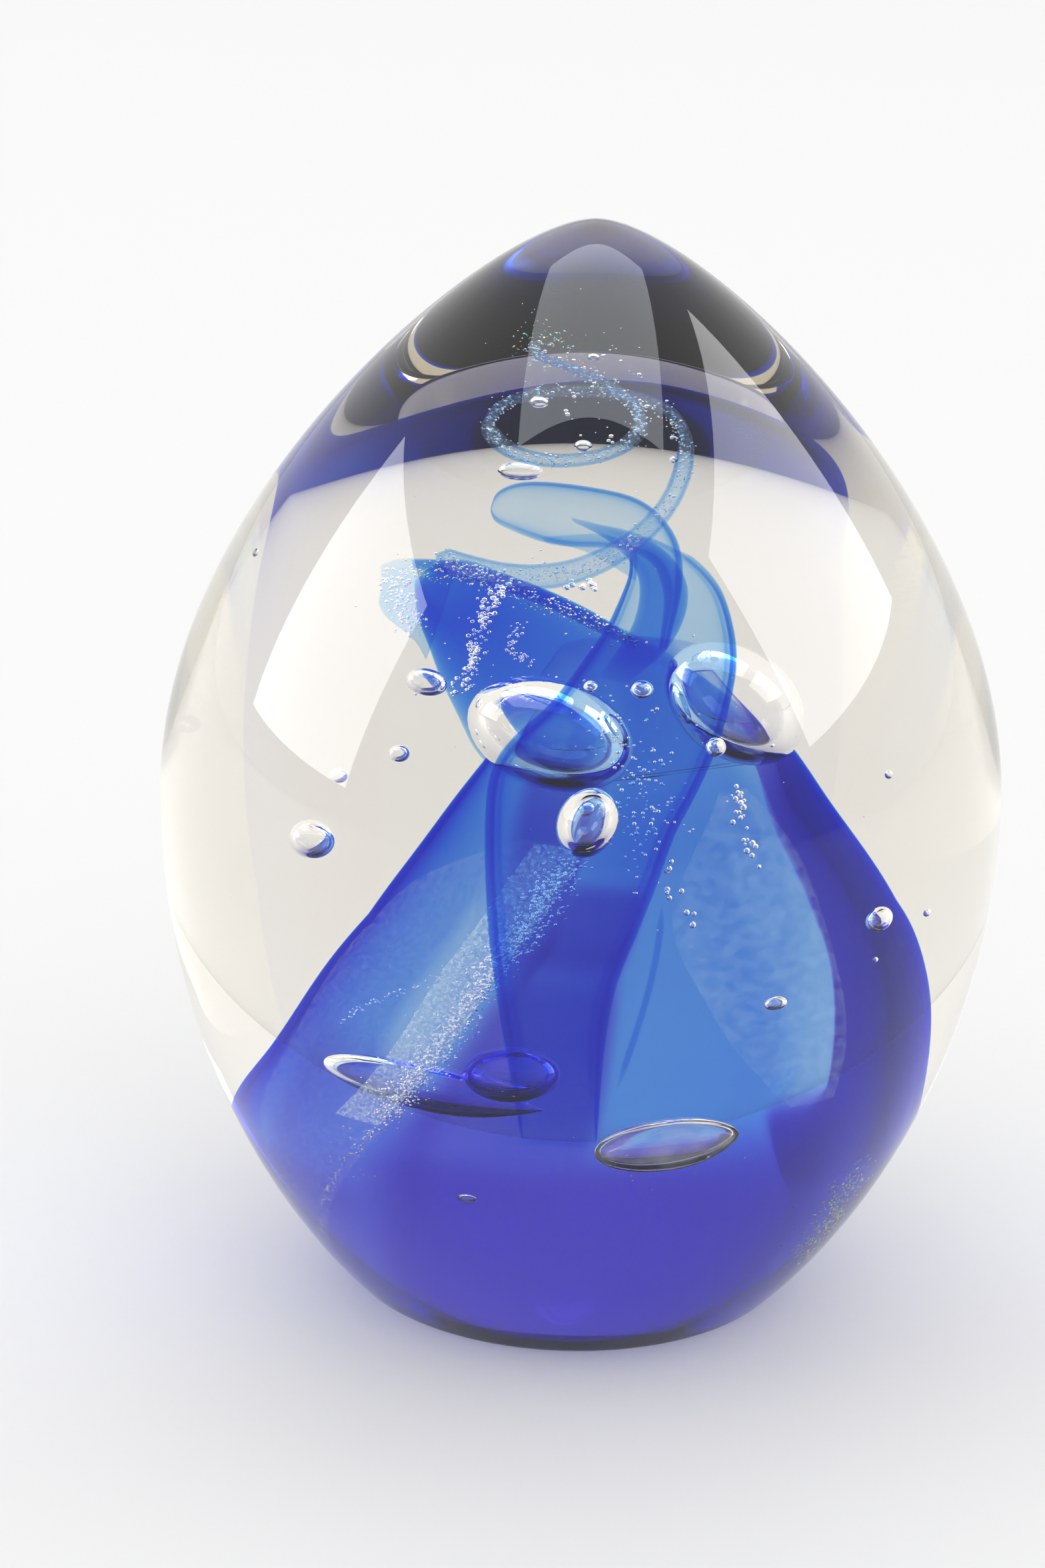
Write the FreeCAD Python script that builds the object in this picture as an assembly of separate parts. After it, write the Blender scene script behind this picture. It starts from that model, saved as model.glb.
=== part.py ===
import FreeCAD, Part
import math
import os
from FreeCAD import Vector

# Egg-shaped art-glass paperweight. Millimetres, +Z up, origin at the centre of the ground foot.
# The viewer's side is -Y. Every coloured piece is sealed inside the clear glass.

# ---- driving dimensions -------------------------------------------------------------
egg_height = 99.0
egg_radius = 38.0
widest_height = 46.8
foot_radius = 20.0
foot_edge_round = 0.6

tent_floor = 1.4          # clear glass left under the blue tent
tent_wall = 0.8
tent_floor_wall = 1.2

curl_thickness = 1.6
flag_thickness = 1.8
ribbon_foot_thickness = 2.2
ribbon_top_thickness = 1.2
panel_lift = 1.1          # from the tent's outer face to the middle of a panel laid over it
panel_thickness = 0.9
thread_radius = 0.45
pale_thread_radius = 0.3
flake_size = 0.9
flake_thickness = 0.2

ORIGIN = Vector(0, 0, 0)
UP = Vector(0, 0, 1)

# The blue tent's cross-sections are ovals: height, left and right reach along X, half depth along Y.
TENT_SECTIONS = [
    (tent_floor, -14.5, 11.5, 13.5),
    (4.0, -17.2, 12.6, 15.2),
    (8.0, -18.7, 14.0, 16.8),
    (12.0, -19.3, 16.0, 17.9),
    (18.5, -19.3, 19.2, 18.8),
    (22.0, -18.7, 19.9, 18.8),
    (26.0, -17.2, 20.4, 18.3),
    (30.0, -15.7, 20.6, 17.5),
    (34.0, -14.1, 20.3, 16.0),
    (38.0, -12.0, 19.3, 14.0),
    (42.0, -9.6, 17.3, 11.3),
    (46.0, -7.3, 14.9, 8.9),
    (48.3, -6.0, 13.6, 7.7),
]
section_points = 12       # points that each of those closed curves passes through


# ---- helpers ------------------------------------------------------------------------
def bezier(*points):
    """A Bezier edge in the XZ plane from (radius, height) pairs."""
    curve = Part.BezierCurve()
    curve.setPoles([Vector(r, 0, z) for r, z in points])
    return curve.toShape()


def lens_wire(left, middle, right, outward, thickness):
    """A thin curved section: two arcs from left to right, one each side of the middle point."""
    front = middle + outward * (thickness / 2)
    back = middle - outward * (thickness / 2)
    front_arc = Part.Arc(left, front, right).toShape()
    back_arc = Part.Arc(right, back, left).toShape()
    return Part.Wire([front_arc, back_arc])


def ribbon(left_edge, right_edge, bow_share, first_thickness, last_thickness):
    """A ribbon lofted between two edges given as matching lists of points."""
    left_points = [Vector(*p) for p in left_edge]
    right_points = [Vector(*p) for p in right_edge]
    middles = [(a + b) * 0.5 for a, b in zip(left_points, right_points)]
    last = len(middles) - 1
    sections = []
    for i, (left, right) in enumerate(zip(left_points, right_points)):
        along = middles[min(i + 1, last)] - middles[max(i - 1, 0)]
        outward = (right - left).cross(along).normalize()
        middle = middles[i] + outward * (bow_share * (right - left).Length)
        thickness = first_thickness + (last_thickness - first_thickness) * i / last
        sections.append(lens_wire(left, middle, right, outward, thickness))
    return Part.makeLoft(sections, True, False)


def oval_wire(height, left, right, half_depth):
    """A closed smooth oval at a height, always starting on its +X side."""
    points = []
    for i in range(section_points):
        turn = 2 * math.pi * i / section_points
        x = (left + right) / 2 + (right - left) / 2 * math.cos(turn)
        points.append(Vector(x, half_depth * math.sin(turn), height))
    curve = Part.BSplineCurve()
    curve.interpolate(Points=points, PeriodicFlag=True)
    return Part.Wire([curve.toShape()])


def tent_point(section, angle, lift):
    """The point outside a tent section at an angle in degrees from +X, with its outward direction."""
    height, left, right, half_depth = section
    turn = math.radians(angle)
    x = (left + right) / 2 + ((right - left) / 2 + lift) * math.cos(turn)
    y = (half_depth + lift) * math.sin(turn)
    return Vector(x, y, height), Vector(math.cos(turn), math.sin(turn), 0)


def tent_panel(rows):
    """A thin panel laid over the tent: rows of section number, first angle, last angle."""
    wires = []
    for number, first, last in rows:
        section = TENT_SECTIONS[number]
        start = tent_point(section, first, panel_lift)[0]
        end = tent_point(section, last, panel_lift)[0]
        middle, outward = tent_point(section, (first + last) / 2, panel_lift)
        wires.append(lens_wire(start, middle, end, outward, panel_thickness))
    return Part.makeLoft(wires, True, False)


def round_thread(points, radius):
    """A round thread of glass along a smooth curve through the points."""
    curve = Part.BSplineCurve()
    curve.interpolate([Vector(*p) for p in points])
    path = curve.toShape()
    section = Part.makeCircle(radius, Vector(*points[0]), path.tangentAt(path.FirstParameter))
    return Part.Wire([path]).makePipeShell([Part.Wire([section])], True, True)


def bubble(centre, half_length, half_width, direction):
    """An air bubble: an ellipse turned about its long axis."""
    half_outline = Part.Arc(Part.Ellipse(ORIGIN, half_length, half_width), 0, math.pi).toShape()
    axis_line = Part.makeLine(Vector(-half_length, 0, 0), Vector(half_length, 0, 0))
    solid = Part.Face(Part.Wire([half_outline, axis_line])).revolve(ORIGIN, Vector(1, 0, 0), 360)
    turn = FreeCAD.Rotation(Vector(1, 0, 0), Vector(*direction))
    solid.Placement = FreeCAD.Placement(Vector(*centre), turn)
    return solid


# ---- the clear egg ------------------------------------------------------------------
def egg():
    """The whole outer form, with a ground flat foot and a softened foot edge."""
    lower_side = bezier((foot_radius, 0), (22.1, 2), (egg_radius, 18), (egg_radius, widest_height))
    upper_side = bezier((egg_radius, widest_height), (egg_radius, 72.9), (8.8, egg_height), (0, egg_height))
    axis_line = Part.makeLine(Vector(0, 0, egg_height), ORIGIN)
    foot = Part.makeLine(ORIGIN, Vector(foot_radius, 0, 0))
    outline = Part.Face(Part.Wire([foot, lower_side, upper_side, axis_line]))
    body = outline.revolve(ORIGIN, UP, 360)
    rim = [e for e in body.Edges if abs(e.BoundBox.ZMax) < 0.001 and e.BoundBox.XLength > foot_radius]
    return body.makeFillet(foot_edge_round, rim)


# ---- the blue tent and the clear gather inside it -----------------------------------
def tent_outside():
    """The tent's full outer form, from its floor to its gathered neck."""
    return Part.makeLoft([oval_wire(*section) for section in TENT_SECTIONS], True, False)


def tent_inside():
    """The form of the inner gather, one wall thickness inside the tent."""
    wires = []
    last = len(TENT_SECTIONS) - 1
    for i, (height, left, right, half_depth) in enumerate(TENT_SECTIONS):
        rise = tent_floor_wall if i == 0 else 0
        drop = tent_wall if i == last else 0
        wires.append(oval_wire(height + rise - drop, left + tent_wall, right - tent_wall, half_depth - tent_wall))
    return Part.makeLoft(wires, True, False)


# ---- ribbons, flag and panels -------------------------------------------------------
def front_ribbon():
    """Rises in front of the tent, thick and narrow at its foot, then swings to the right."""
    left_edge = [(-3.5, -23.5, 25), (-4.5, -21.5, 33), (-6, -15, 46), (-4, -10.5, 54.5),
                 (0.4, -8.5, 60.2), (2.6, -6.5, 65), (2, -5, 68.6)]
    right_edge = [(2, -23.5, 25), (2, -21.5, 33), (5, -15.5, 45), (8.2, -12, 52.6),
                  (10, -9, 59.5), (8.8, -7, 65.4), (4, -5, 69)]
    return ribbon(left_edge, right_edge, 0.12, ribbon_foot_thickness, ribbon_top_thickness)


def curl_ribbon():
    """The pale loop at the top, which comes round from the left and down into the twist."""
    outer_edge = [(-6.4, -5, 72), (-4.5, -5, 73.5), (-2, -6, 74), (2.5, -7, 73.5), (5, -7.5, 72),
                  (6.2, -8.5, 69.5), (6.5, -9.8, 66.5), (6, -11, 63), (5, -12, 60)]
    inner_edge = [(-6.4, -5, 70.5), (-5, -5, 69.3), (-2.5, -6, 68.8), (0.5, -7, 69), (2.5, -7.5, 68.5),
                  (3.8, -8.5, 67), (4.3, -9.8, 65), (4, -11, 62.5), (3.5, -12, 60)]
    return ribbon(outer_edge, inner_edge, -0.16, curl_thickness, curl_thickness)


def flag_ribbon():
    """The broad flag at the upper left, which narrows to the neck of the tent behind the front ribbon."""
    upper_edge = [(-11.5, 2, 63.2), (-7.5, 2, 63.3), (-4.5, 2, 62), (-2.5, 2, 61), (0, 2, 60),
                  (4, 2.5, 58), (8.5, 3, 54.5), (11, 3, 52.6)]
    lower_edge = [(-12.2, 3, 59), (-10.5, 3, 57), (-9.2, 3, 55.2), (-8, 2.5, 54), (-7.2, 2, 53),
                  (-6.3, 1.5, 52.2), (-5.3, 1, 51.6), (-4, 1, 51.4)]
    return ribbon(lower_edge, upper_edge, -0.1, flag_thickness, flag_thickness)


def speckled_veil():
    """The veil full of fine seeds that covers the left front of the tent."""
    return tent_panel([(2, 192, 208), (4, 188, 219), (6, 186, 229), (8, 190, 237), (10, 200, 245), (11, 222, 252)])


def powder_veil():
    """The patch of pale powdered glass on the right front of the tent."""
    return tent_panel([(6, 318, 331), (8, 292, 330), (10, 280, 327), (11, 288, 328), (12, 300, 315)])


def spiral_thread():
    """The speckled hollow cane that leaves the flag, rises in front of the curl and coils to the top."""
    points = [(-9.5, -1, 65), (-5.5, -6, 65.8), (-1.5, -9.5, 67.5), (2.5, -11, 70.5), (5.5, -9.5, 73.8),
              (6.3, -4, 76.3), (4.2, 2.5, 77.2), (-0.6, 5, 77.4), (-5, 3, 77), (-6.4, -1, 76.3),
              (-4.5, -5, 75.9), (-0.5, -6, 76.2), (2.6, -3.8, 77), (2.8, 0, 78.2), (0.5, 2.2, 79.7),
              (-2, 1.8, 81.4), (-3.6, 0, 83.2), (-3.8, -1.2, 85)]
    return round_thread(points, thread_radius)


def pale_thread():
    """A faint curved line inside the tent."""
    return round_thread([(5.5, -9, 42), (5, -10, 37), (3, -10, 28)], pale_thread_radius)


def dichroic_flakes():
    """A patch of metallic chips low on the right, just outside the tent."""
    flakes = []
    for i in range(12):
        place = tent_point(TENT_SECTIONS[3], -30 + 2.6 * i, 3.3 + 0.9 * (i % 3))[0]
        chip = Part.makeBox(flake_size, flake_size, flake_thickness)
        chip.translate(Vector(-flake_size / 2, -flake_size / 2, -flake_thickness / 2))
        chip.rotate(ORIGIN, Vector(1, 0.4 * (i % 3), 0.2), 35 + 23 * i)
        chip.translate(place + Vector(0, 0, 1.1 * (i % 4)))
        flakes.append(chip)
    return Part.Compound(flakes)


# ---- air bubbles --------------------------------------------------------------------
def casing_bubbles():
    """The larger bubbles of the outer glass: centre, half length, half width, long axis."""
    return [
        bubble((-2, -5, 52.8), 5.5, 3.5, (1, 0, -0.4)),
        bubble((9.5, -3, 54.8), 5.2, 3.4, (0.7, 0, -0.7)),
        bubble((0.5, -19.5, 50), 2.7, 2.4, (0.3, 0, 1)),
        bubble((7.6, -27, 25.2), 5.7, 2.4, (1, 0, 0.13)),
        bubble((-4.6, -3, 75), 1.4, 0.8, (1, 0, 0)),
        bubble((-10.5, -4, 56), 1.3, 1.0, (1, 0, -0.2)),
        bubble((-16, 0, 43), 1.4, 1.2, (1, 0, -0.1)),
        bubble((20.5, -9, 40.5), 1.1, 1.0, (1, 0, 0.3)),
        bubble((14.5, -18, 36.5), 0.9, 0.6, (1, 0, 0.1)),
        bubble((-11.5, -4, 50.5), 0.7, 0.6, (1, 0, 0)),
        bubble((-15, -2, 48), 0.6, 0.5, (1, 0, 0)),
        bubble((-3.5, -3, 80), 0.6, 0.5, (1, 0, 0)),
    ]


def core_bubble():
    """The long pointed bubble low on the left, inside the tent."""
    return bubble((-9, -11, 27.5), 7.2, 1.5, (1, -0.15, -0.2))


def main():
    outside = tent_outside()
    inside = tent_inside()
    pieces = {
        "front_ribbon": front_ribbon(),
        "curl_ribbon": curl_ribbon(),
        "flag_ribbon": flag_ribbon(),
        "speckled_veil": speckled_veil(),
        "powder_veil": powder_veil(),
        "spiral_thread": spiral_thread(),
        "dichroic_flakes": dichroic_flakes(),
    }
    pieces["clear_casing"] = egg().cut([outside] + list(pieces.values()) + casing_bubbles())
    pieces["blue_tent"] = outside.cut(inside)
    pieces["pale_thread"] = pale_thread()
    pieces["clear_core"] = inside.cut([pieces["pale_thread"], core_bubble()])
    os.makedirs("parts", exist_ok=True)
    for name, shape in pieces.items():
        shape.exportStep(f"parts/{name}.step")
        print(name, "valid", shape.isValid(), "solids", len(shape.Solids), "volume", round(shape.Volume, 2))


main()
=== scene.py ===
import math

import bmesh
import bpy
import numpy as np
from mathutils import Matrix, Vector


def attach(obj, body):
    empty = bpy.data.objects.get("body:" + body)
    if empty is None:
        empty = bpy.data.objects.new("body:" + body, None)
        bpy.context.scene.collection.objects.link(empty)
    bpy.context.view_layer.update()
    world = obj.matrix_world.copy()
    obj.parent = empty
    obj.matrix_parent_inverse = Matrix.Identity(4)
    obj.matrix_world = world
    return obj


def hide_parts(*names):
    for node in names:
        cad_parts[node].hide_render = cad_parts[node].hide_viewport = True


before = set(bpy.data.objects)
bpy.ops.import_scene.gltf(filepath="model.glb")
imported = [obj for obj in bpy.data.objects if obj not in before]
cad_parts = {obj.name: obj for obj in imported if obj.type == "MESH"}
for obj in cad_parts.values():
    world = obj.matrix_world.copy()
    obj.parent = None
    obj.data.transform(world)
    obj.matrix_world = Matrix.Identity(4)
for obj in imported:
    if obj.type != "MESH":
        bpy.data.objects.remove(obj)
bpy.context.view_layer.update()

MM = 0.001
EGG_HEIGHT = 99
EGG_RADIUS = 38
EGG_WIDEST = 46.8
FOOT_RADIUS = 20
GLASS_IOR = 1.52
SEED_SEGMENTS = 8
rng = np.random.default_rng(7)


# ---- small helpers ------------------------------------------------------------------
def new_object(name, points, faces):
    """A smooth mesh object from points in millimetres and a list of faces."""
    mesh = bpy.data.meshes.new(name)
    mesh.from_pydata([tuple(c * MM for c in p) for p in points], [], [tuple(f) for f in faces])
    mesh.update()
    mesh.polygons.foreach_set("use_smooth", [True] * len(mesh.polygons))
    piece = bpy.data.objects.new(name, mesh)
    bpy.context.scene.collection.objects.link(piece)
    return piece


def join(*shapes):
    """One list of points and faces from several."""
    points, faces = [], []
    for more_points, more_faces in shapes:
        shift = len(points)
        points += list(more_points)
        faces += [tuple(i + shift for i in f) for f in more_faces]
    return points, faces


def shell(name, outside, cavities=()):
    """A solid piece: closed outside surfaces facing out, closed cavity surfaces facing in."""
    piece = new_object(name, *join(outside, *cavities))
    outer_count = len(outside[1])
    bm = bmesh.new()
    bm.from_mesh(piece.data)
    bmesh.ops.recalc_face_normals(bm, faces=bm.faces)
    bm.faces.ensure_lookup_table()
    bmesh.ops.reverse_faces(bm, faces=bm.faces[outer_count:])
    bm.to_mesh(piece.data)
    bm.free()
    return piece


def bezier(points, count):
    """count points along one cubic Bezier."""
    p = np.array(points, float)
    t = np.linspace(0, 1, count)[:, None]
    start = (1 - t) ** 3 * p[0] + 3 * (1 - t) ** 2 * t * p[1]
    return start + 3 * (1 - t) * t * t * p[2] + t ** 3 * p[3]


def spline_at(knots, values, t):
    """A natural cubic spline through values at the knots, read at t."""
    s, p = np.array(knots, float), np.array(values, float)
    n = len(s)
    h = np.diff(s)
    system = np.zeros((n, n))
    right_side = np.zeros((n, p.shape[1]))
    system[0, 0] = system[-1, -1] = 1
    for i in range(1, n - 1):
        system[i, i - 1] = h[i - 1]
        system[i, i] = 2 * (h[i - 1] + h[i])
        system[i, i + 1] = h[i]
        right_side[i] = 6 * ((p[i + 1] - p[i]) / h[i] - (p[i] - p[i - 1]) / h[i - 1])
    m = np.linalg.solve(system, right_side)
    k = np.clip(np.searchsorted(s, t, side="right") - 1, 0, n - 2)
    d = (t - s[k])[:, None]
    hk = h[k][:, None]
    slope = (p[k + 1] - p[k]) / hk - hk * (2 * m[k] + m[k + 1]) / 6
    return p[k] + d * slope + d * d * m[k] / 2 + d ** 3 * (m[k + 1] - m[k]) / (6 * hk)


def spline(points, count):
    """count points on a smooth curve through the given points, with centripetal knots."""
    p = np.array(points, float)
    steps = np.linalg.norm(np.diff(p, axis=0), axis=1) ** 0.5
    knots = np.concatenate([[0], np.cumsum(steps)])
    return spline_at(knots, p, np.linspace(0, knots[-1], count))


def lathe(outline, segments):
    """Points and faces of an outline (radius, height) turned about Z, closed at the axis."""
    points, rings = [], []
    for radius, height in outline:
        if radius < 1e-6:
            rings.append([len(points)])
            points.append((0, 0, height))
            continue
        rings.append(list(range(len(points), len(points) + segments)))
        for i in range(segments):
            angle = 2 * math.pi * i / segments
            points.append((radius * math.cos(angle), radius * math.sin(angle), height))
    faces = []
    for low, high in zip(rings, rings[1:]):
        for i in range(segments):
            j = (i + 1) % segments
            corners = (low[i % len(low)], low[j % len(low)],
                       high[j % len(high)], high[i % len(high)])
            faces.append(tuple(dict.fromkeys(corners)))
    return points, faces


def skin(rings):
    """A closed surface over rings with the same number of points, capped at both ends."""
    n = len(rings[0])
    points = [tuple(p) for ring in rings for p in ring]
    faces = []
    for r in range(len(rings) - 1):
        for i in range(n):
            j = (i + 1) % n
            faces.append((r * n + i, r * n + j, (r + 1) * n + j, (r + 1) * n + i))
    for r in (0, len(rings) - 1):
        centre = len(points)
        points.append(tuple(np.mean(rings[r], axis=0)))
        faces += [(r * n + i, r * n + (i + 1) % n, centre) for i in range(n)]
    return points, faces


# ---- flattened hollow ribbons -------------------------------------------------------
RIBBON_ROWS = 200
RIBBON_COLUMNS = 72


def ribbon_frame(left_edge, right_edge, rows):
    """Along a ribbon: its middle, the vector across it, and the direction its front faces."""
    left, right = spline(left_edge, rows), spline(right_edge, rows)
    middle, across = (left + right) / 2, right - left
    outward = np.cross(across, np.gradient(middle, axis=0))
    outward /= np.linalg.norm(outward, axis=1)[:, None]
    return middle, across, outward


def flat_rings(place, bow, thickness, wall, columns, squareness, rim=1.0):
    """Rings of a flattened tube. A wall of 0 gives the outside, a positive one gives the inside
    of the tube. The wall is rim times thicker along the two edges."""
    middle, across, outward = place
    angles = np.linspace(0, 2 * math.pi, columns, endpoint=False)
    c, s = np.cos(angles), np.sin(angles)
    x = np.sign(c) * np.abs(c) ** squareness
    y = np.sign(s) * np.abs(s) ** squareness
    rings = []
    for m, a, o, t, w in zip(middle, across, outward, thickness, wall):
        width = np.linalg.norm(a)
        in_width = max(0.05, width / 2 - w * rim)
        in_depth = max(0.02, t / 2 - w)
        u = x * in_width
        lift = bow * width * (1 - (u / (width / 2)) ** 2) + y * in_depth
        rings.append(m + np.outer(u, a / width) + np.outer(lift, o))
    return rings


def graded(stops, rows):
    """A value that changes along a ribbon, from (share of the length, value) stops."""
    shares, values = zip(*stops)
    return np.interp(np.linspace(0, 1, rows), shares, values)


def ribbon(name, left_edge, right_edge, bow, thickness, wall, squareness=0.72, rim=1.0):
    """A flattened hollow tube of glass between two edges. bow is how far its middle stands forward,
    as a share of its width. thickness and wall are stops along its length."""
    rows, columns = RIBBON_ROWS, RIBBON_COLUMNS
    place = ribbon_frame(left_edge, right_edge, rows)
    depth = graded(thickness, rows)
    outside = flat_rings(place, bow, depth, np.zeros(rows), columns, squareness)
    inside = flat_rings(place, bow, depth, graded(wall, rows), columns, squareness, rim)
    return shell(name, skin(outside), [skin(inside[2:-2])])


# ---- materials ----------------------------------------------------------------------
def material(name):
    """An empty node material, its nodes and links, and its output node."""
    mat = bpy.data.materials.new(name)
    mat.use_nodes = True
    mat.node_tree.nodes.clear()
    out = mat.node_tree.nodes.new("ShaderNodeOutputMaterial")
    return mat, mat.node_tree.nodes, mat.node_tree.links, out


def map_range(nodes, links, value, from_low, from_high, to_low, to_high):
    """A node that carries a value from one range to another."""
    spread = nodes.new("ShaderNodeMapRange")
    spread.inputs["From Min"].default_value = from_low
    spread.inputs["From Max"].default_value = from_high
    spread.inputs["To Min"].default_value = to_low
    spread.inputs["To Max"].default_value = to_high
    links.new(value, spread.inputs["Value"])
    return spread.outputs[0]


def mixed(nodes, links, share, first, second):
    """The first shader with a share of the second."""
    mix = nodes.new("ShaderNodeMixShader")
    links.new(share, mix.inputs["Fac"])
    links.new(first, mix.inputs[1])
    links.new(second, mix.inputs[2])
    return mix.outputs[0]


def noise_of(nodes, links, scale, detail=3.0, stretch=(1, 1, 1)):
    """A noise value that is fixed to the object."""
    place = nodes.new("ShaderNodeTexCoord")
    mapping = nodes.new("ShaderNodeMapping")
    mapping.inputs["Scale"].default_value = stretch
    noise = nodes.new("ShaderNodeTexNoise")
    noise.inputs["Scale"].default_value = scale
    noise.inputs["Detail"].default_value = detail
    links.new(place.outputs["Object"], mapping.inputs["Vector"])
    links.new(mapping.outputs[0], noise.inputs["Vector"])
    return noise.outputs["Fac"]


def clear_glass(name, absorb=None):
    """Clear glass with the faintest unevenness of a fire-polished surface."""
    mat, nodes, links, out = material(name)
    shader = nodes.new("ShaderNodeBsdfPrincipled")
    shader.inputs["Base Color"].default_value = (1, 1, 1, 1)
    shader.inputs["Transmission Weight"].default_value = 1
    shader.inputs["Roughness"].default_value = 0
    shader.inputs["IOR"].default_value = GLASS_IOR
    bump = nodes.new("ShaderNodeBump")
    bump.inputs["Strength"].default_value = 0.02
    bump.inputs["Distance"].default_value = 0.0004
    links.new(noise_of(nodes, links, 70, 1), bump.inputs["Height"])
    links.new(bump.outputs[0], shader.inputs["Normal"])
    links.new(shader.outputs[0], out.inputs["Surface"])
    if absorb:
        body_tint(nodes, links, out, absorb)
    return mat


def body_tint(nodes, links, out, absorb):
    """Absorption per millimetre of path."""
    volume = nodes.new("ShaderNodeVolumeAbsorption")
    density = max(absorb) * 1.05
    volume.inputs["Color"].default_value = tuple(1 - a / density for a in absorb) + (1,)
    volume.inputs["Density"].default_value = density / MM
    links.new(volume.outputs[0], out.inputs["Volume"])


def glass_with_painted_reflection(name, haze):
    """The wall of a bubble with patches of painted reflection: pale diffuse white, up to haze of
    it, mixed over the glass by noise in place of the bubble's bright reflections.
    """
    mat = clear_glass(name)
    nodes, links = mat.node_tree.nodes, mat.node_tree.links
    out = next(n for n in nodes if n.type == "OUTPUT_MATERIAL")
    shader = next(n for n in nodes if n.type == "BSDF_PRINCIPLED")
    # Pale diffuse white mixed in by noise: painted reflection on the bubble wall.
    painted_reflection = nodes.new("ShaderNodeBsdfDiffuse")
    painted_reflection.inputs["Color"].default_value = (0.95, 0.95, 1.0, 1)
    share = map_range(nodes, links, noise_of(nodes, links, 320, 2), 0.4, 0.65, 0.1 * haze, haze)
    top = mixed(nodes, links, share, shader.outputs[0], painted_reflection.outputs[0])
    links.new(top, out.inputs["Surface"])
    return mat


def coloured_glass(name, absorb, haze=0.0, haze_colour=(0.8, 0.9, 1.0), grain=0.0,
                   stretch=(1, 1, 1), speck=900):
    """Coloured glass inside clear glass of the same index: absorption per millimetre, and a pale
    haze of fine powder. grain is how uneven the haze is, and speck is the scale of its specks."""
    mat, nodes, links, out = material(name)
    surface = nodes.new("ShaderNodeBsdfTransparent")
    body_tint(nodes, links, out, absorb)
    tint = map_range(nodes, links, noise_of(nodes, links, 160), 0, 1, 0.995, 1)
    links.new(tint, surface.inputs["Color"])
    top = surface.outputs[0]
    if haze > 0:
        scatter = nodes.new("ShaderNodeBsdfDiffuse")
        scatter.inputs["Color"].default_value = haze_colour + (1,)
        specks = noise_of(nodes, links, speck, 4, stretch)
        share = map_range(nodes, links, specks, 0.35, 0.7, haze * (1 - grain), haze * (1 + grain))
        top = mixed(nodes, links, share, top, scatter.outputs[0])
    links.new(top, out.inputs["Surface"])
    return mat


def metal_flake(name, colour):
    """Thin bright metal with darker patches."""
    mat, nodes, links, out = material(name)
    shader = nodes.new("ShaderNodeBsdfPrincipled")
    ramp = nodes.new("ShaderNodeValToRGB")
    ramp.color_ramp.elements[0].position = 0.35
    ramp.color_ramp.elements[0].color = tuple(0.55 * c for c in colour) + (1,)
    ramp.color_ramp.elements[1].position = 0.65
    ramp.color_ramp.elements[1].color = colour + (1,)
    links.new(noise_of(nodes, links, 1500), ramp.inputs["Fac"])
    links.new(ramp.outputs[0], shader.inputs["Base Color"])
    shader.inputs["Metallic"].default_value = 0.9
    shader.inputs["Roughness"].default_value = 0.3
    links.new(shader.outputs[0], out.inputs["Surface"])
    return mat


# Absorption per millimetre in red, green and blue.
CLEAR = (0.0028, 0.0034, 0.0046)
COBALT = (2.2, 1.0, 0.07)
VIOLET = (0.5, 1.1, 0.2)
DENSE = (2.6, 2.3, 1.4)
SPECKLED = (0.4, 0.2, 0.02)
SEEDY = (0.3, 0.15, 0.02)
POWDER = (0.08, 0.04, 0.004)
glass = clear_glass("clear_glass", CLEAR)
air = clear_glass("clear_glass_at_air")
# The long front bubble's wall, with pale patches of painted reflection.
air_with_painted_reflection = glass_with_painted_reflection("glass_at_air_with_painted_reflection", 0.14)
cobalt = coloured_glass("cobalt_glass", COBALT)
violet_cobalt = coloured_glass("violet_cobalt_glass", VIOLET, 0.012, (0.75, 0.65, 1.0), 0.3)
deep_cobalt = coloured_glass("deep_cobalt_glass", DENSE)
pale_blue = coloured_glass("pale_blue_glass", COBALT)
speckled_blue = coloured_glass("speckled_blue_glass", SPECKLED, 0.03, grain=0.9, speck=2600)
seedy_blue = coloured_glass("seedy_blue_glass", SEEDY, 0.2, (0.75, 0.88, 1.0), 0.95, speck=3600)
powder = coloured_glass("powder_glass", POWDER, 0.04, (0.6, 0.85, 1.0), 1.0, (0.7, 0.7, 1.0), 1400)
cane = coloured_glass("speckled_cane", COBALT, 0.05, grain=0.9, speck=3000)
teal = metal_flake("dichroic_teal", (0.25, 0.75, 0.7))
gold = metal_flake("dichroic_gold", (0.85, 0.7, 0.3))


def add_piece(piece, mat, slot, *nodes_replaced):
    """Gives a piece its material and body, and hides the CAD nodes that it stands for. slot is not
    used.
    """
    piece.data.materials.append(mat)
    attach(piece, "root")
    if nodes_replaced:
        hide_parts(*nodes_replaced)
    return piece


# ---- the clear egg ------------------------------------------------------------------
lower_side = bezier([(FOOT_RADIUS, 0), (22.1, 2), (EGG_RADIUS, 18), (EGG_RADIUS, EGG_WIDEST)], 150)
upper_side = bezier([(EGG_RADIUS, EGG_WIDEST), (EGG_RADIUS, 72.9), (8.8, EGG_HEIGHT),
                     (0, EGG_HEIGHT)], 200)
foot = [(0, 0), (8, 0), (14, 0), (18, 0), (19.2, 0), (19.55, 0.02), (19.85, 0.09), (20.12, 0.22)]
outline = foot + [tuple(p) for p in lower_side if p[1] > 0.5]
outline += [tuple(p) for p in upper_side[1:-1]] + [(0, EGG_HEIGHT)]
egg = shell("egg_glass", lathe(outline, 320))
add_piece(egg, glass, "clear_glass", "clear_casing", "clear_core")

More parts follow.
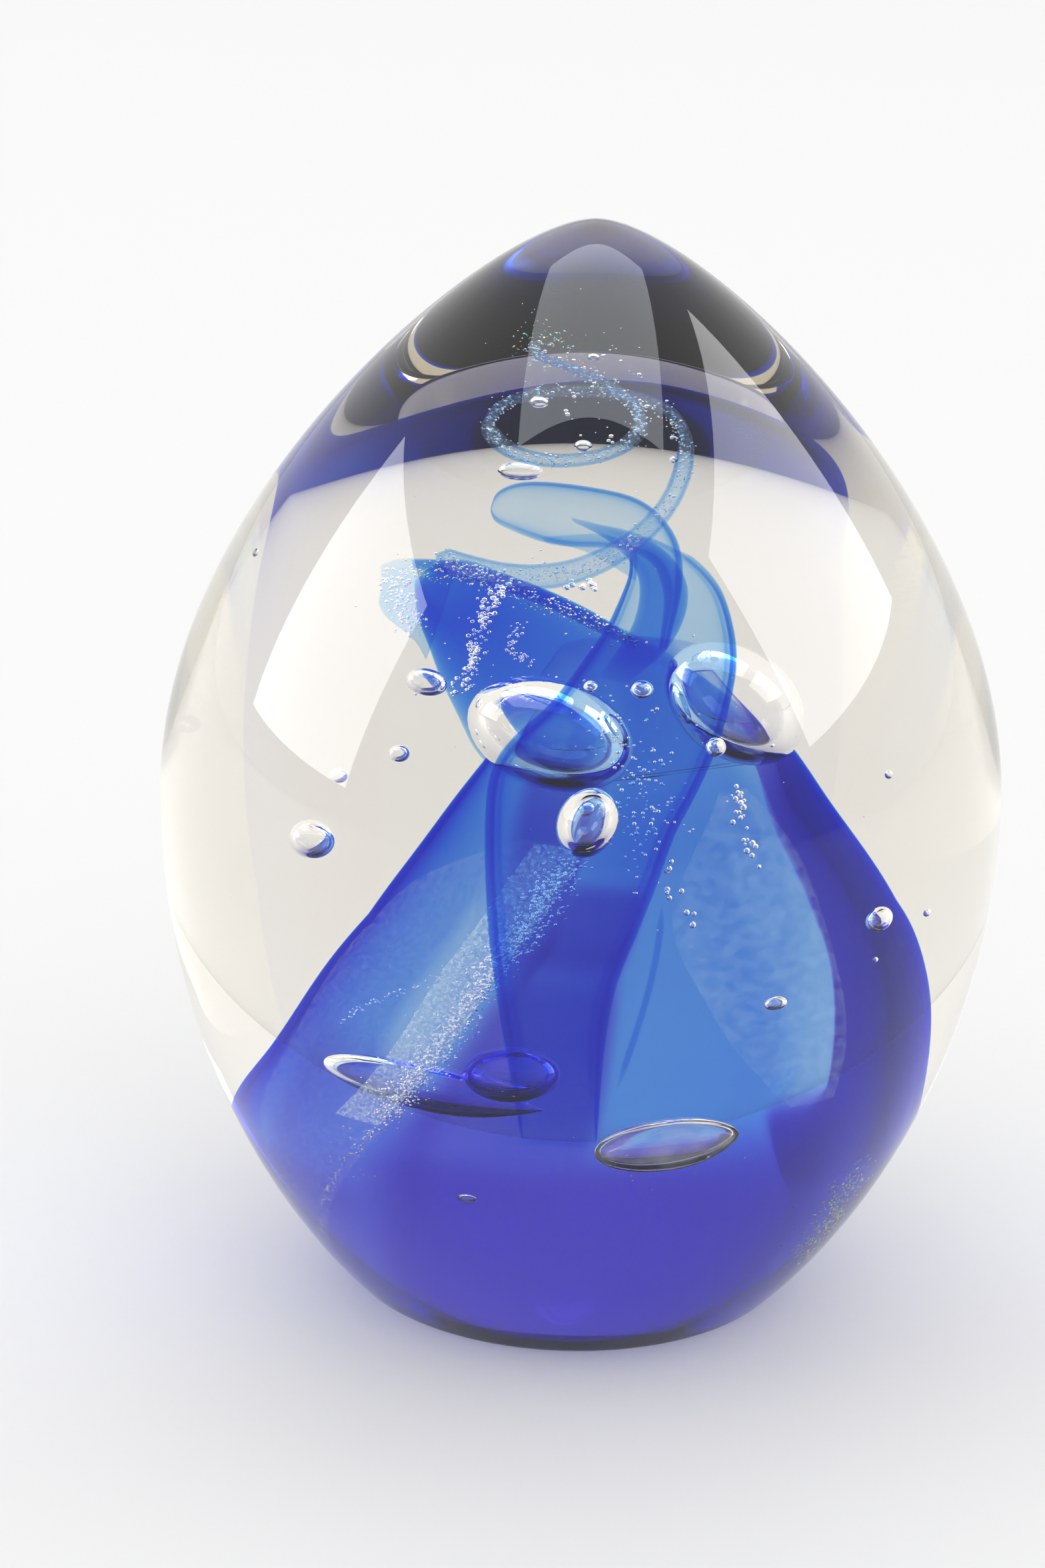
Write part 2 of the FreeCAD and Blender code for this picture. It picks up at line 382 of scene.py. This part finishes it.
# ---- the blue tent ------------------------------------------------------------------
# Height, left and right reach along X, half depth along Y.
TENT = [(1.4, -14.5, 11.5, 13.5), (4.0, -17.2, 12.6, 15.2), (8.0, -18.7, 14.0, 16.8),
        (12.0, -19.3, 16.0, 17.9), (18.5, -19.3, 19.2, 18.8), (22.0, -18.7, 19.9, 18.8),
        (26.0, -17.2, 20.4, 18.3), (30.0, -15.7, 20.6, 17.5), (34.0, -14.1, 20.3, 16.0),
        (38.0, -12.0, 19.3, 14.0), (42.0, -9.6, 17.3, 11.3), (46.0, -7.3, 14.9, 8.9),
        (50.0, -5.0, 12.6, 6.9), (54.0, -3.2, 9.6, 4.8), (57.5, -1.5, 7.5, 3.0)]
TENT_LOW, TENT_TOP = TENT[0][0], TENT[-1][0]
TENT_COLUMNS = 288
TENT_WALL = 0.42  # thickness of the cobalt wall
NECK_FADE = 45, 54.5  # the heights between which the glass thins towards the neck
# Folds of the wall and of the violet lining: lowest and highest height, the first angle from +X at
# each of them, the last angle at each of them, soft margins in degrees and in millimetres, and how
# much thicker the glass is there.
THIN_WALL = [(27, 47, 316, 298, 330, 326, 5, 3, -0.3),
             (29, 42, 212, 219, 224, 229, 4, 2, -0.33),
             (18, 60, 62, 62, 100, 100, 6, 3, 0.32)]
LINING = [(26, 60, 331, 331, 376, 376, 5, 2, 1.9),
          (18, 26, 332, 312, 376, 376, 4, 2, 1.7),
          (-9, 23.5, 225, 225, 345, 345, 8, 3.5, 1.5),
          (-9, 17, -20, -20, 225, 225, 10, 2, 0.7),
          (18, 29, 185, 185, 232, 232, 6, 3, 0.5),
          (24, 38, 227, 241, 271, 267, 3, 3, 1.5),
          (38, 43, 241, 250, 267, 272, 3, 1, 1.5),
          (36, 50, 241, 213, 242, 256, 2, 2, 1.2)]


def tent_section(height):
    """Left reach, right reach and half depth of the tent at one or more heights."""
    knots = [row[0] for row in TENT]
    return spline_at(knots, [row[1:] for row in TENT], np.atleast_1d(np.array(height, float)))


def tent_point(angle, height, lift=0.0):
    """A point on the tent, or a lift outside it, at an angle in degrees from +X."""
    left, right, depth = tent_section(height)[0]
    turn = math.radians(angle)
    x = (left + right) / 2 + ((right - left) / 2 + lift) * math.cos(turn)
    return x, (depth + lift) * math.sin(turn), height


def step(value, low, high):
    """A smooth step from 0 at low to 1 at high."""
    t = np.clip((value - low) / (high - low), 0, 1)
    return t * t * (3 - 2 * t)


def folded(base, folds, angles, height):
    """The thickness around one height of the tent: an even base, and the folds that pass there."""
    wall = np.full(len(angles), float(base))
    for low, high, first_low, first_high, last_low, last_high, soft, blend, extra in folds:
        level = step(height, low - blend, low + blend)
        level = level * (1 - step(height, high - blend, high + blend))
        share = np.clip((height - low) / (high - low), 0, 1)
        first = first_low + (first_high - first_low) * share
        last = last_low + (last_high - last_low) * share
        for turn in (-360, 0, 360):
            a = angles + turn
            side = step(a, first - soft, first + soft) * (1 - step(a, last - soft, last + soft))
            wall = wall + extra * side * level
    return wall


def tent_layers():
    """Rings of the tent's outside, the inside of its wall, and both sides of the lining within."""
    angles = np.linspace(0, 360, TENT_COLUMNS, endpoint=False)
    cos, sin = np.cos(np.radians(angles)), np.sin(np.radians(angles))
    layers = [[], [], [], []]
    heights = np.concatenate([np.linspace(TENT_LOW, TENT_LOW + 1, 6), np.linspace(3, 57.4, 140),
                              [57.43, 57.46, 57.48, TENT_TOP]])
    for height, (left, right, depth) in zip(heights, tent_section(heights)):
        centre, half = (left + right) / 2, (right - left) / 2
        rise = min(height - TENT_LOW, 1.0)
        round_off = 1 - math.sqrt(max(0.0, 1 - (1 - rise) ** 2))
        half, depth = half - round_off, depth - round_off
        fade = 1 - 0.95 * step(height, *NECK_FADE)
        wall = folded(TENT_WALL * fade, THIN_WALL, angles, height).clip(0.03)
        lining = folded(0.02, LINING, angles, height) * fade
        for layer, inset in zip(layers, (0 * wall, wall, wall + 0.02, wall + 0.03 + lining)):
            x = centre + np.maximum(half - inset, 0.05) * cos
            y = np.maximum(depth - inset, 0.05) * sin
            layer.append(np.stack([x, y, np.full(TENT_COLUMNS, height)], axis=1))
    return layers


outer, wall_inside, lining_outside, lining_inside = tent_layers()
tent = shell("blue_tent_glass", skin(outer), [skin(wall_inside[6:-2])])
add_piece(tent, cobalt, "cobalt_glass", "blue_tent")
lining = shell("tent_lining_glass", skin(lining_outside[7:-3]), [skin(lining_inside[8:-4])])
add_piece(lining, violet_cobalt, "cobalt_glass")
POOL = [(0, 1.7), (9, 1.7), (11.7, 1.8), (12.7, 2.2), (11.7, 2.7), (9, 3.0), (0, 3.1)]
pool = shell("tent_floor_glass", lathe(POOL, 128))
add_piece(pool, deep_cobalt, "cobalt_glass")

# ---- ribbons and flag ---------------------------------------------------------------
FRONT_LEFT = [(-3.5, -23.5, 25), (-4.5, -21.5, 33), (-5.5, -18.5, 40), (-6, -15, 46),
              (-6, -12.5, 50), (-5.5, -11.5, 52.5), (-4, -10.5, 54.5), (-2.5, -10, 56),
              (-1.2, -9.5, 57.7), (0.4, -8.5, 60.2), (1.5, -7.5, 62), (2.1, -7, 63.5),
              (2.6, -6.5, 65), (2.9, -6, 66.4), (2.8, -5.5, 67.7), (2, -5, 68.6)]
FRONT_RIGHT = [(2, -23.5, 25), (2, -21.5, 33), (2.8, -18.5, 39), (5, -15.5, 45), (6.2, -14, 48.5),
               (7.2, -13, 50.5), (8.2, -12, 52.6), (9, -11, 54.7), (9.6, -10, 57), (10, -9, 59.5),
               (9.9, -8, 61.5), (9.5, -7.5, 63.5), (8.8, -7, 65.4), (7.5, -6.5, 67.1),
               (6, -6, 68.3), (4, -5, 69)]
front = ribbon(
    "front_ribbon_glass", FRONT_LEFT, FRONT_RIGHT, bow=0.1,
    thickness=[(0, 0.2), (0.1, 1.7), (0.35, 1.7), (0.7, 1.3), (1, 0.5)],
    wall=[(0, 0.05), (0.12, 0.3), (0.4, 0.24), (0.6, 0.2), (1, 0.14)], squareness=0.6, rim=3.0)
add_piece(front, cobalt, "cobalt_glass", "front_ribbon")

curl = ribbon(
    "curl_ribbon_glass",
    [(-6.5, -5, 71.2), (-6.1, -5, 72.4), (-5, -5, 73.3), (-3, -6, 74), (0.5, -7, 74),
     (3.4, -7.5, 73.3), (5.1, -8, 71.9), (6.1, -8.5, 70.2), (6.5, -9, 68.4), (6.5, -9.5, 66.5),
     (6.1, -10, 64), (5.6, -10, 61.5)],
    [(-6.5, -5, 70.9), (-6.2, -5, 70), (-5.2, -5, 69.3), (-3.5, -6, 68.9), (-1.5, -7, 68.8),
     (1, -7.5, 69), (3, -8, 68.9), (4.4, -8.5, 68.1), (5, -9, 67), (5.3, -9.5, 65.5),
     (5.2, -10, 63.5), (5, -10, 61.5)],
    bow=-0.14, thickness=[(0, 0.7), (0.3, 1.4), (1, 0.9)],
    wall=[(0, 0.08), (0.5, 0.09), (0.75, 0.16), (1, 0.2)], rim=4.6)
add_piece(curl, pale_blue, "pale_blue_glass", "curl_ribbon")

fold = ribbon(
    "curl_fold_glass",
    [(-1.2, -9, 72.2), (1, -9, 71.6), (3.4, -9, 70.9), (5.7, -9.3, 69.2), (6.9, -9.5, 66.8),
     (6.7, -9.8, 64), (5.3, -10, 61.2), (3.0, -10, 58.8)],
    [(-1, -9, 71.8), (0.8, -9, 70.7), (2.4, -9, 69.2), (3.4, -9.3, 67.6), (3.6, -9.5, 65.6),
     (3.1, -9.8, 63.2), (1.9, -10, 60.8), (1.0, -10, 59.2)],
    bow=0.1, thickness=[(0, 0.3), (0.4, 1.2), (0.8, 1.2), (1, 0.3)],
    wall=[(0, 0.1), (0.4, 0.52), (0.8, 0.52), (1, 0.1)], rim=1.6)
add_piece(fold, cobalt, "cobalt_glass")

film = ribbon(
    "curl_film_glass",
    [(-3, -5.5, 68.9), (-1, -5.5, 69.2), (1.5, -5.5, 69.2), (3.2, -5.5, 68.2)],
    [(-2.8, -5.5, 68.5), (-0.5, -5.5, 67.9), (1.2, -5.5, 66.9), (3.2, -5.5, 65.4)],
    bow=0.05, thickness=[(0, 0.3), (1, 0.5)], wall=[(0, 0.14), (1, 0.14)])
add_piece(film, pale_blue, "pale_blue_glass")

flag = ribbon(
    "flag_ribbon_glass",
    [(-10.2, 3, 61), (-9.9, 3, 58.4), (-9.2, 3, 56.2), (-8.5, 3, 54), (-7.7, 2.8, 52),
     (-7, 2.5, 50.4), (-6.3, 2, 49), (-5, 1.5, 47.6), (-3, 1, 46.6)],
    [(-9.6, 2, 62.2), (-8, 2, 63.4), (-5, 2, 62.5), (-2, 2, 61), (0.5, 2, 59.4), (3.5, 2.5, 57.4),
     (7, 3, 54.5), (10, 3, 51.5), (12, 3, 48.5)],
    bow=-0.08, thickness=[(0, 1.4), (0.15, 2.5), (0.8, 1.4), (1, 0.04)],
    wall=[(0, 0.7), (0.25, 1.15), (0.5, 0.98), (0.8, 0.36), (1, 0.02)], rim=1.6)
add_piece(flag, cobalt, "cobalt_glass", "flag_ribbon")

tip = ribbon(
    "flag_tip_glass",
    [(-12.5, 2, 59.6), (-12, 2.5, 58.5), (-11, 3, 57.4), (-10, 3, 56.4), (-9.3, 3, 55)],
    [(-12.5, 2, 62.8), (-11.5, 2, 63.3), (-10.2, 2, 63.5), (-8.8, 2, 63.4), (-7.8, 2, 63.1)],
    bow=-0.05, thickness=[(0, 0.3), (0.4, 0.6), (1, 0.8)], wall=[(0, 0.12), (1, 0.16)])
add_piece(tip, pale_blue, "pale_blue_glass")

band = ribbon(
    "flag_edge_glass",
    [(-10.5, 1.6, 62.7), (-8, 1.6, 62.4), (-5, 1.6, 61.4), (-2, 1.6, 60), (0.5, 1.6, 58.5),
     (3, 1.6, 57)],
    [(-10.6, 1.6, 63.5), (-8, 1.6, 63.5), (-5, 1.6, 62.6), (-2, 1.6, 61.2), (0.6, 1.6, 59.6),
     (3.2, 1.6, 57.6)],
    bow=0.1, thickness=[(0, 0.8), (0.4, 2.2), (0.8, 2.2), (1, 0.8)],
    wall=[(0, 0.4), (0.4, 0.95), (0.8, 0.95), (1, 0.4)], squareness=1.0)
add_piece(band, cobalt, "cobalt_glass")


# ---- panels over the tent -----------------------------------------------------------
def panel(name, rows, lift, thickness):
    """A thin panel that follows the tent: rows of height, first angle, last angle."""
    count, columns = 90, 60
    heights = np.linspace(rows[0][0], rows[-1][0], count)
    spans = spline_at([r[0] for r in rows], [r[1:] for r in rows], heights)
    rings = []
    for height, (first, last) in zip(heights, spans):
        ring = []
        for k in range(columns):
            turn = 2 * math.pi * k / columns
            angle = (first + last) / 2 + (last - first) / 2 * math.cos(turn)
            ring.append(tent_point(angle, height, lift + thickness / 2 * math.sin(turn)))
        rings.append(np.array(ring))
    return shell(name, skin(rings))


veil = panel(
    "speckled_veil_glass",
    [(8, 192, 207), (14, 189, 213), (20, 187, 221), (26, 186, 229), (32, 188, 235), (38, 190, 238),
     (42, 200, 247), (46, 232, 254)], lift=1.1, thickness=0.25)
add_piece(veil, speckled_blue, "speckled_blue_glass", "speckled_veil")

veil_band = panel(
    "veil_band_glass",
    [(24, 213, 225), (28, 218, 230), (33, 223, 236), (38, 226, 240), (42, 231, 247),
     (46, 238, 254)], lift=1.45, thickness=0.2)
add_piece(veil_band, seedy_blue, "speckled_blue_glass")

patch = panel(
    "powder_veil_glass",
    [(26.5, 314, 326), (30, 303, 327), (34, 293, 326), (38, 285, 324), (42, 280, 324),
     (46, 288, 322), (49.5, 300, 312)], lift=1.1, thickness=0.3)
add_piece(patch, powder, "powder_glass", "powder_veil")


# ---- canes --------------------------------------------------------------------------
def cane_rings(points, widths, thickness, wall, rows, twist=(0, 0)):
    """Rings of a flat cane along a smooth curve, with its width as stops along it, turning evenly
    between the two angles of twist. A wall of 0 gives its outside, a positive one gives the inside
    of a hollow cane, whose wall is thick along the two edges and thin on the faces."""
    path = spline(points, rows)
    along = np.gradient(path, axis=0)
    along /= np.linalg.norm(along, axis=1)[:, None]
    rings = []
    angles = np.linspace(0, 2 * math.pi, 20, endpoint=False)
    for r, (p, d, width) in enumerate(zip(path, along, graded(widths, rows))):
        side = np.cross(d, (0.0, 1.0, 0.0))
        side /= max(1e-6, np.linalg.norm(side))
        up = np.cross(side, d)
        turn = math.radians(twist[0] + (twist[1] - twist[0]) * r / (rows - 1))
        c, s = math.cos(turn), math.sin(turn)
        side, up = side * c + up * s, up * c - side * s
        taper = min(1.0, 0.25 + 0.12 * r, 0.25 + 0.12 * (rows - 1 - r))
        u = np.cos(angles) * max(0.02, (width / 2 * taper - wall))
        v = np.sin(angles) * max(0.02, (thickness / 2 * taper - wall * 0.3))
        rings.append(p + np.outer(u, side) + np.outer(v, up))
    return rings


SPIRAL = [(-9.5, -1, 65), (-5.5, -6, 65.8), (-1.5, -9.5, 67.5), (2.5, -11, 70.5), (5.5, -9.5, 73.8),
          (6.3, -4, 76.3), (4.2, 2.5, 77.2), (-0.6, 5, 77.4), (-5, 3, 77), (-6.4, -1, 76.3),
          (-4.5, -5, 75.9), (-0.5, -6, 76.2), (2.6, -3.8, 77), (2.8, 0, 78.2), (0.5, 2.2, 79.7),
          (-2, 1.8, 81.4), (-3.6, 0, 83.2), (-3.8, -1.2, 85)]
CANE_WIDTHS = [(0, 2.2), (0.12, 2.2), (0.26, 1.5), (1, 1.1)]
CANE_THICKNESS = 0.7
CANE_ROWS = 420
CANE_TWIST = 0, 60
cane_outside = cane_rings(SPIRAL, CANE_WIDTHS, CANE_THICKNESS, 0, CANE_ROWS, CANE_TWIST)
cane_inside = cane_rings(SPIRAL, CANE_WIDTHS, CANE_THICKNESS, 0.26, CANE_ROWS, CANE_TWIST)
spiral = shell("spiral_cane_glass", skin(cane_outside), [skin(cane_inside[3:-3])])
add_piece(spiral, cane, "speckled_cane", "spiral_thread")

EDGE_WIDTHS = [(0, 0.2), (0.15, 0.8), (0.6, 0.6), (1, 0.2)]
strands = [skin(cane_rings(path[:-1], EDGE_WIDTHS, 1.5, 0, 240))
           for path in (FRONT_LEFT, FRONT_RIGHT)]
add_piece(shell("front_ribbon_edges_glass", join(*strands)), cobalt, "cobalt_glass")

THREAD = [(5.5, -9, 42), (5, -10, 37), (3, -10, 28)]
thread = shell("pale_thread_glass", skin(cane_rings(THREAD, [(0, 0.5), (1, 0.5)], 0.5, 0, 60)))
add_piece(thread, pale_blue, "pale_blue_glass", "pale_thread")


# ---- air bubbles and seeds ----------------------------------------------------------
def ball(centre, half_length, half_width, direction=(1, 0, 0), segments=40, point=0.0, deeper=1.0):
    """A bubble turned about its long axis. A point above 0 draws its far end out to a tip, and
    deeper stretches it along Y."""
    outline = []
    for a in np.linspace(math.pi, 0, segments // 2 + 1):
        along = math.cos(a)
        slim = 1 - point * max(0.0, along) ** 2 * (1 - abs(math.sin(a)) * 0.5)
        outline.append((max(0.0, half_width * math.sin(a) * slim), half_length * along))
    outline[0], outline[-1] = (0, -half_length), (0, half_length)
    points, faces = lathe(outline, segments)
    turn = Vector((0, 0, 1)).rotation_difference(Vector(direction).normalized()).to_matrix()
    placed = [turn @ Vector(p) for p in points]
    return [(centre[0] + p.x, centre[1] + p.y * deeper, centre[2] + p.z) for p in placed], faces


def bubbles(name, shapes, mat=air):
    """Air bubbles in the clear glass: surfaces that face into the air."""
    return add_piece(shell(name, ([], []), shapes), mat, "clear_glass")


# Centre, half length, half width and long axis.
BIG = [
    ((-2.0, -5, 52.8), 5.5, 3.9, (1, 0, -0.4)),
    ((9.5, -3, 54.8), 5.2, 3.8, (0.7, 0, -0.7)),
    ((0.6, -19.5, 51.0), 2.7, 2.2, (0.4, 0, 1)),
    ((-4.5, -3, 73.6), 1.5, 0.8, (1, 0, 0)),
    ((-10, -4, 56), 1.4, 1.0, (1, 0, -0.2)),
    ((-16, 0, 43), 1.45, 1.2, (1, 0, -0.1)),
    ((20.5, -9, 41), 1.1, 1.0, (1, 0, 0.3)),
    ((14.5, -18, 36.5), 0.9, 0.6, (1, 0, 0.1)),
    ((-11.5, -4, 50.5), 0.7, 0.6, (1, 0, 0)),
    ((-15, -2, 48), 0.6, 0.5, (1, 0, 0)),
    ((4, -12, 59), 0.8, 0.7, (1, 0, 0)),
    ((0.5, -13, 59.5), 0.5, 0.45, (1, 0, 0)),
    ((9.5, -16, 56), 0.75, 0.75, (1, 0, 0)),
    ((-0.5, -4, 76.5), 0.6, 0.5, (1, 0, 0)),
    ((-3.5, -3, 80), 0.65, 0.5, (1, 0, 0)),
    ((0, 0, 83), 0.4, 0.35, (1, 0, 0)),
    ((-23.5, 0, 65), 0.35, 0.35, (1, 0, 0)),
    ((19, 0, 48.5), 0.3, 0.3, (1, 0, 0)),
    ((21.5, 0, 39), 0.3, 0.3, (1, 0, 0)),
    ((19.5, -6, 37), 0.22, 0.22, (1, 0, 0)),
    ((5.5, -4, 75.5), 0.3, 0.3, (1, 0, 0)),
    ((-8, -25, 19.5), 0.8, 0.4, (1, 0, 0.05)),
]
bubbles("air_bubbles", [ball(*b) for b in BIG])
# The long front bubble, whose wall carries pale patches of painted reflection.
long_bubble = ball((7.7, -26, 25.6), 5.8, 2.5, (1, 0, 0.13), 64, point=0.25, deeper=0.7)
bubbles("long_front_bubble", [long_bubble], air_with_painted_reflection)
pointed_bubble = ball((-9.2, -10.5, 27.2), 7.6, 2.0, (1, -0.12, -0.14), 48, point=0.85)
bubbles("inner_pointed_bubble", [pointed_bubble])
bubbles("inner_dome_bubble", [ball((-4.0, -12.5, 29.2), 3.3, 2.3, (1, 0, 0.1), 48)])


def seeds_along(points, count, spread, smallest, largest, skew=2.0):
    """Fine bubbles scattered about a curve. A higher skew makes more of them small."""
    path = spline(points, count)
    shapes = []
    for p in path[rng.integers(0, count, count)]:
        radius = smallest + (largest - smallest) * rng.random() ** skew
        centre = tuple(p + rng.normal(0, spread, 3))
        shapes.append(ball(centre, radius, radius, (1, 0, 0), SEED_SEGMENTS))
    return shapes


def over_tent(lift, *places):
    """Points a lift outside the tent, from angles and heights."""
    return [tent_point(angle, height, lift) for angle, height in places]


VEIL_EDGE = over_tent(1.6, (251, 45.2), (243, 41.2), (237, 37), (232, 31.2), (226, 25.1),
                      (219, 19.6), (212, 14.5), (207, 9.7))
VEIL_INNER_EDGE = over_tent(1.0, (232, 43.5), (226, 38), (217, 35), (207, 33), (202, 31))
VEIL_FILL = over_tent(1.0, (240, 43), (232, 37), (226, 31), (222, 25), (218, 19), (210, 13))
# Curve, count, spread about it, smallest and largest radius, and skew. Each row takes its random
# draws in turn.
SEEDS = [
    (VEIL_EDGE[:5], 1500, 0.62, 0.06, 0.13),
    (VEIL_EDGE, 420, 0.2, 0.05, 0.12),
    (VEIL_INNER_EDGE, 90, 0.12, 0.05, 0.1),
    (VEIL_FILL, 260, 1.0, 0.04, 0.09),
    ([(-5, -1, 63), (-6, -1, 61), (-6.6, -1, 58.5), (-7, -1.5, 56.5), (-7.6, -1.5, 54.5)],
     170, 0.3, 0.07, 0.22),
    ([(-12, 0.5, 62.6), (-11.3, 0.5, 60.5), (-10.3, 1, 58.2)], 200, 0.5, 0.06, 0.14),
    ([(-4, -1, 59.8), (-4.5, -1, 57.8), (-3.4, -1, 56.7)], 50, 0.2, 0.06, 0.14),
    ([(-11.5, 0.5, 63), (-8, 0.5, 63), (-5, 0.5, 62), (-2, 0.5, 60.8), (1.5, 0.5, 59)],
     160, 0.35, 0.05, 0.12),
    ([(-1.6, -4, 64), (-0.6, -4, 64.5), (0.3, -4, 64)], 12, 0.3, 0.15, 0.28, 1.0),
    ([(10.5, -13, 52), (11, -13, 50), (11.6, -13, 47.5), (12, -13, 46)], 26, 0.25, 0.1, 0.26, 1.0),
    ([(6, -15.5, 47), (7, -16, 44.5), (8, -16.5, 42.5)], 10, 0.6, 0.15, 0.3, 1.0),
    ([(2, -14.5, 57), (4.5, -14, 52), (3.5, -16, 47.5)], 150, 1.3, 0.07, 0.17),
    (SPIRAL[:7], 320, 0.3, 0.05, 0.13),
    (SPIRAL[6:], 420, 0.3, 0.05, 0.14),
    ([(-3, 0, 85), (0, 0, 81), (2, -2, 77)], 70, 2.6, 0.05, 0.2, 4.0),
    ([(-10, -6, 66), (0, -14, 62), (8, -14, 48)], 90, 4.5, 0.04, 0.12, 3.0),
    ([(-9, -20, 30), (0, -24, 24), (10, -22, 20)], 60, 2.5, 0.04, 0.1, 3.0),
]
fine = []
for row in SEEDS:
    fine += seeds_along(*row)
bubbles("fine_seeds", fine)


def chips(points, count, spread, size):
    """Small thin metallic plates with five corners, scattered about a curve."""
    path = spline(points, 200)
    shapes = []
    for p in path[rng.integers(0, 200, count)]:
        centre = p + rng.normal(0, spread, 3)
        u = rng.normal(0, 1, 3)
        u /= np.linalg.norm(u)
        v = np.cross(u, rng.normal(0, 1, 3))
        v /= np.linalg.norm(v)
        n = np.cross(u, v)
        reach = size * (0.5 + rng.random())
        corners = [centre + reach * (math.cos(a) * u + 0.6 * math.sin(a) * v)
                   for a in (0, 1.3, 2.4, 3.6, 5.0)]
        top = [tuple(c + n * 0.02) for c in corners]
        low = [tuple(c - n * 0.02) for c in corners]
        k = len(corners)
        faces = [tuple(range(k)), tuple(range(2 * k - 1, k - 1, -1))]
        faces += [(i, (i + 1) % k, k + (i + 1) % k, k + i) for i in range(k)]
        shapes.append((top + low, faces))
    return shapes


LOW_PATCH = over_tent(1.4, (343, 18), (346, 15), (349, 12), (352, 9.5))
FLAG_TOP = [(-11, 0.8, 62.8), (-7, 0.8, 62.6), (-4, 0.8, 61.4), (0, 0.8, 59.4), (3, 0.8, 57.8)]
# Curve, count, spread about it, and size.
CHIPS = [
    (LOW_PATCH, 240, 1.0, 0.16),
    (FLAG_TOP, 150, 0.35, 0.09),
    (SPIRAL[6:], 170, 0.3, 0.07),
    (SPIRAL[:7], 80, 0.3, 0.07),
    ([(-4, -1, 84.5), (-2, 0, 84)], 50, 1.0, 0.09),
]
GOLD_SHARE = 0.7
plates = {}
for name, share in (("teal_chips", 1.0), ("gold_chips", GOLD_SHARE)):
    shapes = []
    for path, count, spread, size in CHIPS:
        shapes += chips(path, int(count * share), spread, size)
    plates[name] = shell(name, join(*shapes))
add_piece(plates["teal_chips"], teal, "dichroic_flake", "dichroic_flakes")
add_piece(plates["gold_chips"], gold, "dichroic_flake")

# ---- floor, light, camera -----------------------------------------------------------
FLOOR_REACH = 3000
floor = new_object("floor", [(-FLOOR_REACH, -FLOOR_REACH, 0), (FLOOR_REACH, -FLOOR_REACH, 0),
                             (FLOOR_REACH, FLOOR_REACH, 0), (-FLOOR_REACH, FLOOR_REACH, 0)],
                   [(0, 1, 2, 3)])
mat, nodes, links, out = material("floor")
paper = nodes.new("ShaderNodeBsdfPrincipled")
paper.inputs["Base Color"].default_value = (0.76, 0.76, 0.755, 1)
paper.inputs["Roughness"].default_value = 0.6
links.new(paper.outputs[0], out.inputs["Surface"])
floor.data.materials.append(mat)
floor.location.z = -0.00002  # just under the foot, so that the two faces don't fight

# An even pale room, brighter behind the egg than in front of it.
world = bpy.data.worlds.new("studio")
bpy.context.scene.world = world
world.use_nodes = True
sky, sky_links = world.node_tree.nodes, world.node_tree.links
direction = sky.new("ShaderNodeTexCoord")
axes = sky.new("ShaderNodeSeparateXYZ")
sky_links.new(direction.outputs["Generated"], axes.inputs[0])
behind = sky.new("ShaderNodeMapRange")
behind.interpolation_type = "SMOOTHSTEP"
for socket, value in (("From Min", -0.25), ("From Max", 0.25), ("To Min", 0.86), ("To Max", 1.13)):
    behind.inputs[socket].default_value = value
sky_links.new(axes.outputs["Y"], behind.inputs["Value"])
sky["Background"].inputs[0].default_value = (0.99, 0.99, 0.985, 1)
sky_links.new(behind.outputs[0], sky["Background"].inputs[1])


def area_light(name, centre, look_at, width, height, seen, cast, colour):
    """A rectangular softbox. seen is how bright it looks in the glass, and cast is how brightly it
    lights the floor, both against white paper in full light."""
    for part, radiance in (("seen", seen), ("cast", cast)):
        if radiance == 0:
            continue
        lamp = bpy.data.lights.new(f"{name}_{part}", "AREA")
        lamp.shape = "RECTANGLE"
        lamp.size = width
        lamp.size_y = height
        lamp.color = colour
        lamp.energy = radiance * math.pi * width * height
        holder = bpy.data.objects.new(lamp.name, lamp)
        bpy.context.scene.collection.objects.link(holder)
        holder.location = centre
        aim = Vector(look_at) - Vector(centre)
        holder.rotation_euler = aim.to_track_quat("-Z", "Y").to_euler()
        holder.visible_diffuse = part == "cast"
        holder.visible_glossy = part == "seen"
        holder.visible_transmission = part == "seen"


EGG_MIDDLE = (0, 0, 0.05)


def at(azimuth, elevation, distance):
    """A point seen from the egg: azimuth 0 is towards the viewer, positive to the right."""
    a, e = math.radians(azimuth), math.radians(elevation)
    way = Vector((math.sin(a) * math.cos(e), -math.cos(a) * math.cos(e), math.sin(e)))
    return way * distance + Vector(EGG_MIDDLE)


area_light("left_window", at(-85, 23, 2.0), EGG_MIDDLE, 1.5, 1.25, 4.8, 1.9, (1, 1, 1))
area_light("right_window", at(92, 35, 2.0), EGG_MIDDLE, 1.9, 1.35, 4.2, 1.65, (1, 1, 1))
area_light("overhead", (0, 0.2, 2.05), (0, 0.2, 0), 1.7, 1.6, 3.0, 1.62, (0.9, 0.95, 1.0))
area_light("front_fill", (0.4, -1.3, 1.5), EGG_MIDDLE, 1.6, 1.2, 0.0, 0.6, (1, 1, 1))

camera_data = bpy.data.cameras.new("camera")
camera_data.lens = 100
camera_data.sensor_width = 36
camera_data.clip_start = 0.01
camera = bpy.data.objects.new("camera", camera_data)
bpy.context.scene.collection.objects.link(camera)
camera.location = Vector((0, -373.41, 175.66)) * MM
target = Vector((-5.25, 0, 47.0)) * MM
camera.rotation_euler = (target - camera.location).to_track_quat("-Z", "Y").to_euler()
CAMERA_ROLL = 1.5
camera.rotation_euler.rotate_axis("Z", math.radians(CAMERA_ROLL))
bpy.context.scene.camera = camera

# Enough bounces for light to pass through every layer of glass.
scene = bpy.context.scene
scene.view_settings.view_transform = "Standard"
scene.cycles.max_bounces = 48
scene.cycles.transmission_bounces = 32
scene.cycles.glossy_bounces = 24
scene.cycles.diffuse_bounces = 4
scene.cycles.transparent_max_bounces = 64
